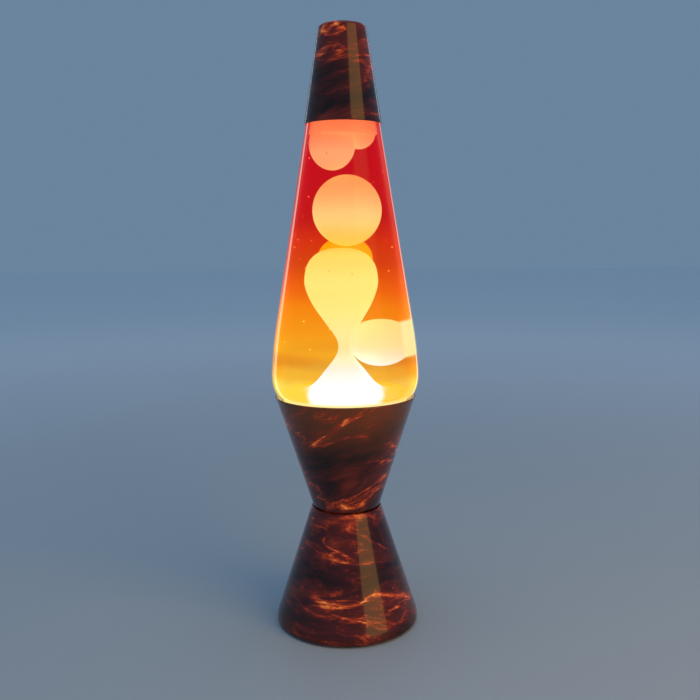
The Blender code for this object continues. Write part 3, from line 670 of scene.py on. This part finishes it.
def globe_profile():
    """The outside of the glass, from the middle of its foot up to its lip."""
    foot = arc((23.6, 100.6), 3.0, -90, -10, 8)
    belly = smooth_line(
        [(41.4, 144.9), (42.3, 146.8), (44.0, 149.4), (45.4, 154.0), (45.9, 160.0), (45.35, 169.0), (44.4, 178.0),
         (43.2, 187.0)], 4)
    shoulder = smooth_line(
        [(22.5, 311.0), (20.5, 323.0), (18.4, 330.0), (14.8, 335.5), (13.0, 341.0), (13.0, 347.5)], 4)
    lip = [(13.6, 348.1), (13.75, 349.3), (13.6, 350.5), (12.8, 352.0), (12.0, 352.2), (11.2, 352.0)]
    straight = [(43.2 - 20.7 * (z - 187.0) / 124.0, z) for z in (210.0, 235.0, 260.0, 285.0)]
    return [(0.0, 100.0), (8.0, 99.85), (15.0, 99.3), (21.0, 97.9), *foot, *belly, *straight, *shoulder, *lip]


def inset(profile, depth):
    """The profile moved in from the outside by depth."""
    moved = []
    for i, point in enumerate(profile):
        before = Vector(profile[max(i - 1, 0)])
        after = Vector(profile[min(i + 1, len(profile) - 1)])
        along = (after - before).normalized()
        moved.append((max(point[0] - along.y * depth, 0.0), point[1] + along.x * depth))
    return moved


def inside_glass(z, wall=2.2):
    """The radius of the glass's inner wall at a height."""
    line = inset(globe_profile(), wall)
    for (r0, z0), (r1, z1) in zip(line, line[1:]):
        if z0 <= z <= z1 and z > 101.0:
            return r0 + (r1 - r0) * (z - z0) / (z1 - z0)
    return line[-1][0]


def inner_line(wall, lowest, highest):
    """The inside of the glass between two heights, as radius and height."""
    line = inset(globe_profile(), wall)
    return [point for point in line if lowest < point[1] < highest and point[0] > 9.0]


def globe_glass(finish, wetted):
    outside = globe_profile()
    inside = inner_line(2.2, 102.5, 351.0)
    base = [(0.0, 102.3), (8.0, 102.1), (15.0, 101.6), (20.0, 101.0), (23.0, 101.3)]
    outline = [*outside, (10.8, 351.4), *inside[::-1], *base[::-1]]
    glass = mesh_piece(
        "globe_glass_wall", turned(outline, 144), finish, "globe", ["globe_glass"], angle=60
    )
    glass.data.materials.append(wetted)
    for face in glass.data.polygons:
        inwards = face.normal.x * face.center.x + face.normal.y * face.center.y < 0
        on_floor = face.normal.z > 0.8 and face.center.z < 0.11
        below_top = 0.1009 < face.center.z < LIQUID_TOP * MM
        face.material_index = int(below_top and (inwards or on_floor))
    return glass


def lamp_liquid(finish):
    line = inner_line(2.35, 103.0, LIQUID_TOP - 1.0)
    base = [(0.0, 102.6), (8.0, 102.4), (15.0, 101.9), (20.0, 101.5), (22.6, 102.0)]
    top = [(line[-1][0] - 0.2, LIQUID_TOP - 0.5), (line[-1][0] - 1.2, LIQUID_TOP - 0.9), (0.0, LIQUID_TOP - 1.0)]
    return mesh_piece("lamp_liquid", turned([*base, *line, *top], 144), finish, "globe", angle=60)


# The wax.
POOL_TOP = 149.0


def wax_pool_and_drop(finish):
    """The settled pool, the neck that rises from it and the drop at its top."""
    pool = [(inside_glass(z) - 0.55, z) for z in (110.0, 120.0, 132.0, 143.0, 145.5, 147.3)]
    rising = smooth_line(
        [(31.0, POOL_TOP + 0.1), (27.6, POOL_TOP + 0.5), (23.4, 150.6), (19.0, 153.8), (15.4, 157.9), (12.4, 161.8),
         (9.2, 165.6), (6.4, 169.3), (4.5, 172.9), (3.75, 177.0), (5.2, 182.9), (11.4, 192.5), (18.0, 203.2),
         (21.7, 212.5), (22.4, 219.0), (20.6, 227.4), (15.6, 233.5), (8.4, 236.7), (0.0, 237.4)], 5)
    rim = inside_glass(POOL_TOP)
    outline = [(0.0, 108.9), (pool[0][0] - 2.4, 108.9), (pool[0][0] - 0.5, 109.4), *pool,
               (rim - 0.9, POOL_TOP - 0.7), (rim - 2.0, POOL_TOP - 0.1), *rising]
    bm = turned(outline, 96)
    for vert in bm.verts:
        rise = min(max((vert.co.z / MM - 160.0) / 58.0, 0.0), 1.0)
        lean = rise * rise * (3 - 2 * rise)
        vert.co.x -= 1.9 * MM * lean
        vert.co.y -= 6.0 * MM * lean
    return mesh_piece("wax_pool_and_drop", bm, finish, "globe", ["wax_column"], angle=80)


def wax_lump(name, centre, half, finish, body, node, swell=0.0, flat=1.0):
    """A soft lump: an ellipsoid whose skin swells a little, pressed flat where it meets the glass."""
    bm = bmesh.new()
    bmesh.ops.create_uvsphere(bm, u_segments=96, v_segments=56, radius=1.0)
    for vert in bm.verts:
        out = vert.co.copy()
        a = math.atan2(out.y, out.x)
        wave = 1 - swell * (0.5 + 0.5 * math.sin(2 * a + 1.3 * out.z) * (1 - out.z * out.z))
        height = max(out.z, 0.0) ** flat - max(-out.z, 0.0)
        x, y, z = centre[0] + half[0] * out.x * wave, centre[1] + half[1] * out.y * wave, centre[2] + half[2] * height
        room = min(inside_glass(z + 4.0), inside_glass(z - 3.0)) - 0.4
        reach = math.hypot(x, y)
        press = min(room / reach, 1.0)
        vert.co = mm(x * press, y * press, z)
    return mesh_piece(name, bm, finish, body, [node], angle=80)


def risen_wax(finish):
    """The wax that has gathered under the shoulder, with the lobes that hang from it."""
    low = 303.7
    high = 322.0
    wall = [(inside_glass(z) - 0.55, z) for z in (low + 1.6, 310.0, 315.0, high - 3.6)]
    outline = [(0.0, low), (wall[0][0] - 5.0, low + 0.1), (wall[0][0] - 1.2, low + 0.6), *wall,
               (wall[-1][0] - 1.4, high - 1.4), (wall[-1][0] - 5.0, high - 0.5), (0.0, high)]
    lobes = []
    for centre, half in (((-6.6, -3.0, 299.0), (14.0, 14.0, 15.4)), ((9.6, 3.4, 306.0), (10.0, 10.0, 9.4))):
        lobe = bmesh.new()
        bmesh.ops.create_uvsphere(lobe, u_segments=64, v_segments=40, radius=1.0)
        for vert in lobe.verts:
            vert.co = mm(*(centre[i] + half[i] * 0.995 * vert.co[i] for i in range(3)))
        lobes.append(lobe)
    mesh = combined(plain_mesh(turned(outline, 72)), lobes, "UNION")
    return mesh_object("risen_wax", mesh, finish, "globe", ["wax_top_mass"], angle=80)


def bubbles(finish):
    """Small bubbles and specks that cling inside the glass."""
    recipe = Recipe("bubbles")
    count = recipe.size("Count", 150)
    smallest = recipe.size("Smallest", 0.18 * MM)
    largest = recipe.size("Largest", 0.50 * MM)
    seed = recipe.size("Seed", 11)
    x, y, z = recipe.axes(recipe.node("GeometryNodeInputPosition"))
    near_side_blob = x.math("GREATER_THAN", 0.012) * z.math("LESS_THAN", 0.200)
    clear = y.math("LESS_THAN", 0.016) * (1 - near_side_blob)
    points = recipe.node(
        "GeometryNodeDistributePointsOnFaces", {"distribute_method": "RANDOM"},
        {"Mesh": recipe.start, "Selection": clear, "Density": count / 0.052, "Seed": seed},
    )
    ball = recipe.node("GeometryNodeMeshIcoSphere", inputs={"Radius": 1.0, "Subdivisions": 2})
    sizes = {2: smallest, 3: largest, "Seed": seed}
    spread = recipe.node("FunctionNodeRandomValue", {"data_type": "FLOAT"}, sizes, 1)
    placed = recipe.node("GeometryNodeInstanceOnPoints", inputs={"Points": points, "Instance": ball, "Scale": spread})
    line = [(inside_glass(z) - 1.0, z) for z in (176.0, 200.0, 230.0, 260.0, 285.0, 300.0)]
    mesh = recipe.mesh(placed, finish, plain_mesh(turned(line, 96)))
    return mesh_object("bubbles", mesh, finish, "globe", angle=80)


# Wire, threads and pressed metal.
def heat_coil(finish):
    """The wire coil that lies on the globe's floor and spreads the heat."""
    recipe = Recipe("heat_coil")
    radius = recipe.size("Radius", 20.0 * MM)
    wire = recipe.size("Wire", 1.1 * MM)
    pitch = recipe.size("Pitch", 2.5 * MM)
    turns = recipe.size("Turns", 2.0)
    line = recipe.node(
        "GeometryNodeCurveSpiral", None,
        {"Resolution": 96, "Rotations": turns, "Start Radius": radius, "End Radius": radius, "Height": pitch * turns},
    )
    ring = recipe.node("GeometryNodeCurvePrimitiveCircle", None, {"Resolution": 14, "Radius": wire * 0.5})
    tube = recipe.node("GeometryNodeCurveToMesh", inputs={"Curve": line, "Profile Curve": ring, "Fill Caps": True})
    lifted = recipe.node("GeometryNodeTransform", inputs={"Geometry": tube, "Translation": mm(0, 0, 102.3)})
    return mesh_object("heat_coil_wire", recipe.mesh(lifted, finish), finish, "globe", ["heat_coil"])


def threaded(name, outline, pitch, depth, low, high, finish, body, node, closed=True):
    """A pressed sleeve with a rolled thread between two heights."""
    recipe = Recipe(name)
    rise = recipe.size("Pitch", pitch * MM)
    deep = recipe.size("Depth", depth * MM)
    bottom = recipe.size("Thread start", low * MM)
    top = recipe.size("Thread end", high * MM)
    angle, x, y, z = recipe.around_axis()
    wave = ((z / rise - angle / math.tau) * math.tau).sine()
    fade = ((z - bottom) / (1.5 * MM)).clamped() * ((top - z) / (1.5 * MM)).clamped()
    moved = recipe.swelled(x, y, wave * fade * deep)
    mesh = recipe.mesh(moved, finish, plain_mesh(turned(outline, 64, closed=closed)))
    return mesh_object(name, mesh, finish, body, [node])


def crown_closure(finish):
    """The pressed steel closure, fluted all round its skirt."""
    recipe = Recipe("crown_closure")
    flutes = recipe.size("Flutes", 21)
    depth = recipe.size("Depth", 0.55 * MM)
    angle, x, y, z = recipe.around_axis()
    low = ((352.4 * MM - z) / (3.2 * MM)).clamped()
    ridge = ((angle * flutes).sine() * 0.5 + 0.5) * low * depth
    moved = recipe.swelled(x, y, ridge)
    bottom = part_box("crown_closure")[0][2] / MM
    outline = [
        (0.0, 353.5), (8.0, 353.5), (11.6, 353.4), (12.9, 352.95), (13.7, 352.1), (14.05, 351.0), (14.2, 349.8),
        (14.4, bottom + 0.25), (14.45, bottom), (14.15, bottom), (14.05, bottom + 0.3), (13.85, 349.9),
        (13.75, 351.0), (13.4, 352.0), (12.7, 352.7), (11.5, 353.05), (8.0, 353.15), (0.0, 353.15),
    ]
    dense = []
    for one, two in zip(outline, outline[1:]):
        dense += [tuple(Vector(one).lerp(Vector(two), i / 3)) for i in range(3)]
    mesh = recipe.mesh(moved, finish, plain_mesh(turned([*dense, outline[-1]], 252)))
    return mesh_object("crown_closure_cap", mesh, finish, "globe", ["crown_closure"])


def filament_wire(finish):
    """A finely coiled filament hung in an arc between its leads."""
    low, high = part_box("filament")
    centre_z = low[2] + 0.3 * MM
    rise = (high[2] - low[2]) - 0.6 * MM
    half = (high[0] - low[0]) / 2 - 0.35 * MM
    curve = bpy.data.curves.new("filament_line", "CURVE")
    curve.dimensions = "3D"
    curve.bevel_depth = 0.055 * MM
    curve.bevel_resolution = 1
    curve.use_fill_caps = True
    line = curve.splines.new("POLY")
    steps = 720
    line.points.add(steps)
    for i in range(steps + 1):
        share = i / steps
        x = half * (2 * share - 1)
        z = centre_z + rise * math.sin(math.pi * share)
        a = math.tau * 48 * share
        radius = 0.24 * MM
        line.points[i].co = (x, radius * math.sin(a), z + radius * math.cos(a), 1.0)
    holder = linked("filament_line", curve)
    mesh = evaluated_mesh(holder)
    bpy.data.objects.remove(holder)
    return mesh_object("filament_wire", mesh, finish, "bulb", ["filament"])


BULB_TIP = 26.1
THREAD_PITCH = 2.82


def bulb_glass(finish):
    shape = smooth_line(
        [(6.9, 11.9), (7.0, 19.4), (9.4, 23.4), (14.2, 29.4), (16.9, 35.9), (17.4, 41.9), (16.2, 48.4), (11.9, 54.9),
         (6.2, 58.1), (0.0, 58.9)], 6)
    outer = [(r, z + BULB_TIP) for r, z in shape]
    inner = [(max(r, 0.0), z) for r, z in inset(outer, 0.6)]
    inner[-1] = (0.0, outer[-1][1] - 0.6)
    outline = [*outer, *inner[::-1]]
    return mesh_piece("bulb_envelope", turned(outline, 72), finish, "bulb", ["bulb_glass"], angle=60)


def ring_of(name, start, finish, count, radius, first_angle, body, stands_for):
    """Copies of one small part, stood at even steps round the lamp's axis."""
    recipe = Recipe(name)
    number = recipe.size("Count", count)
    reach = recipe.size("Radius", radius * MM)
    turn = recipe.size("First angle", math.radians(first_angle))
    points = recipe.node("GeometryNodePoints", inputs={"Count": number})
    index = recipe.node("GeometryNodeInputIndex")
    angle = index * (math.tau / count) + turn
    place = recipe.vector(angle.math("COSINE") * reach, angle.sine() * reach)
    placed = recipe.node("GeometryNodeSetPosition", inputs={"Geometry": points, "Position": place})
    copies = recipe.node(
        "GeometryNodeInstanceOnPoints",
        inputs={"Points": placed, "Instance": recipe.start, "Rotation": recipe.vector(0.0, 0.0, angle)},
    )
    return mesh_object(name, recipe.mesh(copies, finish, start), finish, body, stands_for)


def cross_head(low, high, head_radius, head_height, shank_radius):
    """A pan-head screw, head down, with a cross recess; its axis is the lamp's until it is placed."""
    outline = [
        (0.0, low), (head_radius * 0.6, low + 0.05), (head_radius * 0.88, low + 0.3 * head_height),
        (head_radius, low + 0.7 * head_height), (head_radius, low + head_height), (shank_radius, low + head_height),
        (shank_radius, high - 0.8), (shank_radius * 0.5, high), (0.0, high),
    ]
    arms = []
    for degrees in (0, 90):
        arm = bmesh.new()
        bmesh.ops.create_cube(arm, size=1.0)
        size = Matrix.Diagonal((head_radius * 1.1 * MM, 0.75 * MM, head_height * 1.1 * MM, 1.0))
        arm.transform(Matrix.Translation(mm(0, 0, low)) @ Matrix.Rotation(math.radians(degrees), 4, "Z") @ size)
        arms.append(arm)
    return combined(plain_mesh(turned(outline, 28)), arms, "DIFFERENCE")


def rubber_foot(top):
    outline = [
        (0.0, 0.35), (2.6, 0.35), (2.9, 0.0), (4.4, 0.0), (4.85, 0.3), (5.0, 0.8), (4.9, 2.1), (4.6, 2.5), (2.0, 2.5),
        (2.0, 5.1), (2.9, 5.1), (2.7, 5.8), (2.2, top), (0.0, top),
    ]
    return plain_mesh(turned(outline, 36))


def paint(name, finish):
    """Gives a carried-over CAD node its finish."""
    node = nodes[name]
    if not node.material_slots:
        node.data.materials.append(finish)
    for place in node.material_slots:
        place.material = finish


# The base.
lower_print = lava_print("molten_rock_print_on_lower_cone", 0.0, 0.076, (0.10, -0.05, 0.0), (0.31, 0.12, 0.05))
cup_print = lava_print("molten_rock_print_on_upper_cup", 0.105, 0.148, (0.10, 0.40, 0.0), (0.87, 0.43, 0.21), 0.8)
cap_print = lava_print("molten_rock_print_on_cap", 0.31, 0.368, (0.0, 0.22, 0.0), (1.37, 0.83, 0.55))
zinc = metal("zinc_plated_steel", (0.62, 0.62, 0.60), (0.40, 0.40, 0.38), 0.28)
coil_wire = metal("bare_coil_steel", (0.60, 0.58, 0.54), (0.30, 0.24, 0.20), 0.30)
nickel = metal("nickel_plate", (0.72, 0.70, 0.66), (0.50, 0.47, 0.42), 0.20)
brass = metal("satin_brass", (0.78, 0.57, 0.25), (0.42, 0.26, 0.10), 0.26)
solder = metal("solder_button", (0.60, 0.60, 0.62), (0.36, 0.36, 0.38), 0.38)
tinplate = metal("tinplate", (0.80, 0.78, 0.72), (0.52, 0.50, 0.45), 0.24, (1.0, 1.0, 6.0))
vitrite = moulded("black_vitrite", (0.008, 0.008, 0.010), (0.03, 0.03, 0.035), 0.12, 500.0, 0.1)
porcelain = moulded("glazed_porcelain", (0.84, 0.82, 0.76), (0.74, 0.71, 0.63), 0.14, 300.0, 0.06)
cover_plastic = moulded("moulded_cover_plastic", (0.010, 0.010, 0.011), (0.035, 0.035, 0.037), 0.48)
rubber = moulded("black_rubber", (0.012, 0.012, 0.012), (0.040, 0.038, 0.036), 0.75, 900.0, 0.35)
liner = moulded("soft_white_liner", (0.80, 0.80, 0.77), (0.66, 0.65, 0.60), 0.50, 700.0, 0.15)

spun = metal("bare_spun_aluminium", (0.66, 0.66, 0.67), (0.40, 0.40, 0.42), 0.34, (0.4, 0.4, 3.0), 0.35)
bare_inside(lower_cone(lower_print), spun, lambda face, radius: face.center.z > 0.067 and radius < 0.0208)
bare_inside(upper_cup(cup_print), spun, lambda face, radius: face.normal.z > 0.4 and face.center.z < 0.073)
paint("cord_grommet", rubber)
for name in ("socket_cage", "cover_lug_1", "cover_lug_2", "cover_lug_3", "socket_screw_1", "socket_screw_2"):
    paint(name, zinc)
for name in ("centre_contact", "terminal_screw_1", "terminal_screw_2"):
    paint(name, brass)
paint("socket_body", porcelain)
paint("bottom_cover", cover_plastic)
threaded(
    "socket_thread_shell",
    [(8.9, 44.7), (8.9, 24.9), (8.6, 24.6), (5.3, 24.6), (5.2, 24.7), (5.2, 24.9), (5.3, 25.0), (8.3, 25.0),
     *[(8.5, 25.2 + 0.35 * i) for i in range(55)], (8.55, 44.7)],
    THREAD_PITCH, 0.0, 25.5, 44.0, brass, "base", "socket_screw_shell",
)
screw_low, screw_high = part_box("cover_screw_1")
ring_of(
    "cover_screws", cross_head(screw_low[2] / MM, screw_high[2] / MM, 2.9, 1.3, 1.4), zinc, 3, 37.8, 30.0, "base",
    ["cover_screw_1", "cover_screw_2", "cover_screw_3"],
)
ring_of(
    "rubber_feet", rubber_foot(6.6), rubber, 3, 32.0, 90.0, "base",
    ["rubber_foot_1", "rubber_foot_2", "rubber_foot_3"],
)

# The bulb.
paint("bulb_contact", solder)
paint("bulb_insulator", vitrite)
bulb_glass(clear_glass("thin_bulb_glass"))
paint("bulb_stem", clear_glass("bulb_stem_glass"))
paint("filament_lead_1", nickel)
paint("filament_lead_2", nickel)
filament_wire(hot_wire("hot_tungsten"))
threaded(
    "bulb_screw_base_thread",
    [(0.0, BULB_TIP + 4.8), (7.4, BULB_TIP + 4.8), (7.75, BULB_TIP + 5.1),
     *[(7.8, BULB_TIP + 5.4 + 0.35 * i) for i in range(41)], (7.9, BULB_TIP + 20.2), (7.7, BULB_TIP + 20.5),
     (0.0, BULB_TIP + 20.5)],
    THREAD_PITCH, 0.28, BULB_TIP + 6.0, BULB_TIP + 18.6, nickel, "bulb", "bulb_screw_base", closed=False,
)

# The globe and what is in it.
globe_glass(clear_glass("clear_bottle_glass", filled=True), clear_glass("wetted_inner_glass", strength=0.12))
lamp_liquid(tinted_liquid("tinted_lamp_liquid"))
wax = glowing_wax("glowing_wax")
wax_pool_and_drop(wax)
wax_lump("drifting_blob_middle", (2.0, -4.0, 259.8), (21.1, 20.5, 21.3), wax, "middle_blob", "wax_blob_middle", 0.015)
deep_wax = glowing_wax("glowing_wax_deep_in_liquid", DEEP_WAX_SEEN)
wax_lump("drifting_blob_rear", (0.5, 25.0, 230.5), (17.9, 6.5, 13.9), deep_wax, "rear_blob", "wax_blob_rear", 0.02)
wax_lump("drifting_blob_side", (22.5, 9.6, 177.6), (20.3, 13.5, 14.9), wax, "side_blob", "wax_blob_side", 0.01, 0.72)
risen_wax(wax)
bubbles(bright_specks("bubble_skin"))
heat_coil(coil_wire)
crown_closure(tinplate)
paint("closure_liner", liner)

# The cap.
bare_inside(lamp_cap(cap_print), spun, lambda face, radius: face.normal.z < -0.4 and face.center.z > 0.36)


# The room.
def floor_finish():
    look = Finish("pale_blue_grey_floor")
    cloud = look.noise(1.6, 3.0, 0.5)
    near = look.mixed(cloud, (0.42, 0.50, 0.56, 1.0), (0.46, 0.54, 0.60, 1.0))
    # painted light: the floor grows paler away from the lamp, making up for the lamps' light falling off so that it
    # meets the background
    reach = (look.x * look.x + look.y * look.y) ** 0.5
    colour = look.mixed(reach.rises(0.15, 1.6), near, (0.93, 0.96, 1.0, 1.0))
    return look.done(look.principled(Base_Color=colour, Roughness=look.noise(40.0, 2.0, 0.5) * 0.1 + 0.45))


def room():
    bm = bmesh.new()
    bmesh.ops.create_grid(bm, x_segments=8, y_segments=8, size=6.0)
    mesh = bpy.data.meshes.new("floor")
    bm.to_mesh(mesh)
    bm.free()
    mesh.materials.append(floor_finish())
    linked("floor", mesh)
    world = bpy.data.worlds.new("room")
    bpy.context.scene.world = world
    world.use_nodes = True
    background = world.node_tree.nodes["Background"]
    background.inputs["Color"].default_value = (0.155, 0.245, 0.36, 1.0)
    background.inputs["Strength"].default_value = 0.95


def area_light(name, side, distance, height, size, power, colour):
    """A soft panel that faces the lamp; side is its angle round the lamp, from the front towards the right."""
    light = bpy.data.lights.new(name, "AREA")
    light.shape = "RECTANGLE"
    light.size, light.size_y = size
    light.energy = power
    light.color = colour
    holder = linked(name, light)
    turn = math.radians(side)
    holder.location = (distance * math.sin(turn), -distance * math.cos(turn), height)
    holder.rotation_euler = (Vector((0, 0, 0.2)) - holder.location).to_track_quat("-Z", "Y").to_euler()
    holder.visible_camera = False
    return holder


def kept_off_floor(*strips):
    """Edge strips light the lamp only, so that the floor stays plain."""
    unlit = bpy.data.collections.new("not_lit_by_edge_strips")
    unlit.objects.link(bpy.data.objects["floor"])
    unlit.collection_objects[0].light_linking.link_state = "EXCLUDE"
    for strip in strips:
        strip.light_linking.receiver_collection = unlit


def lights():
    area_light("overhead_softbox", 20.0, 0.2, 1.6, (1.4, 1.4), 3.6, (0.86, 0.93, 1.0))
    area_light("warm_side_panel", 47.0, 0.9, 0.50, (0.66, 1.0), 4.6, (1.0, 0.56, 0.16))
    left = area_light("left_edge_strip", -148.0, 0.85, 0.45, (0.05, 1.1), 0.34, (0.90, 0.95, 1.0))
    right = area_light("right_edge_strip", 148.0, 0.85, 0.45, (0.05, 1.1), 0.34, (0.90, 0.95, 1.0))
    kept_off_floor(left, right)


CAMERA_PLACE = (0.0031, -0.512, 0.243)
CAMERA_LENS = 42.69
CAMERA_DIP = 7.65
CAMERA_ROLL = -0.0085


def photographer():
    camera = bpy.data.cameras.new("camera")
    camera.lens = CAMERA_LENS
    camera.sensor_width = 36.0
    holder = linked("camera", camera)
    turn = Matrix.Rotation(math.radians(90.0 - CAMERA_DIP), 4, "X") @ Matrix.Rotation(CAMERA_ROLL, 4, "Z")
    holder.matrix_world = Matrix.Translation(CAMERA_PLACE) @ turn
    bpy.context.scene.camera = holder


room()
lights()
photographer()
bpy.context.scene.view_settings.view_transform = "Standard"
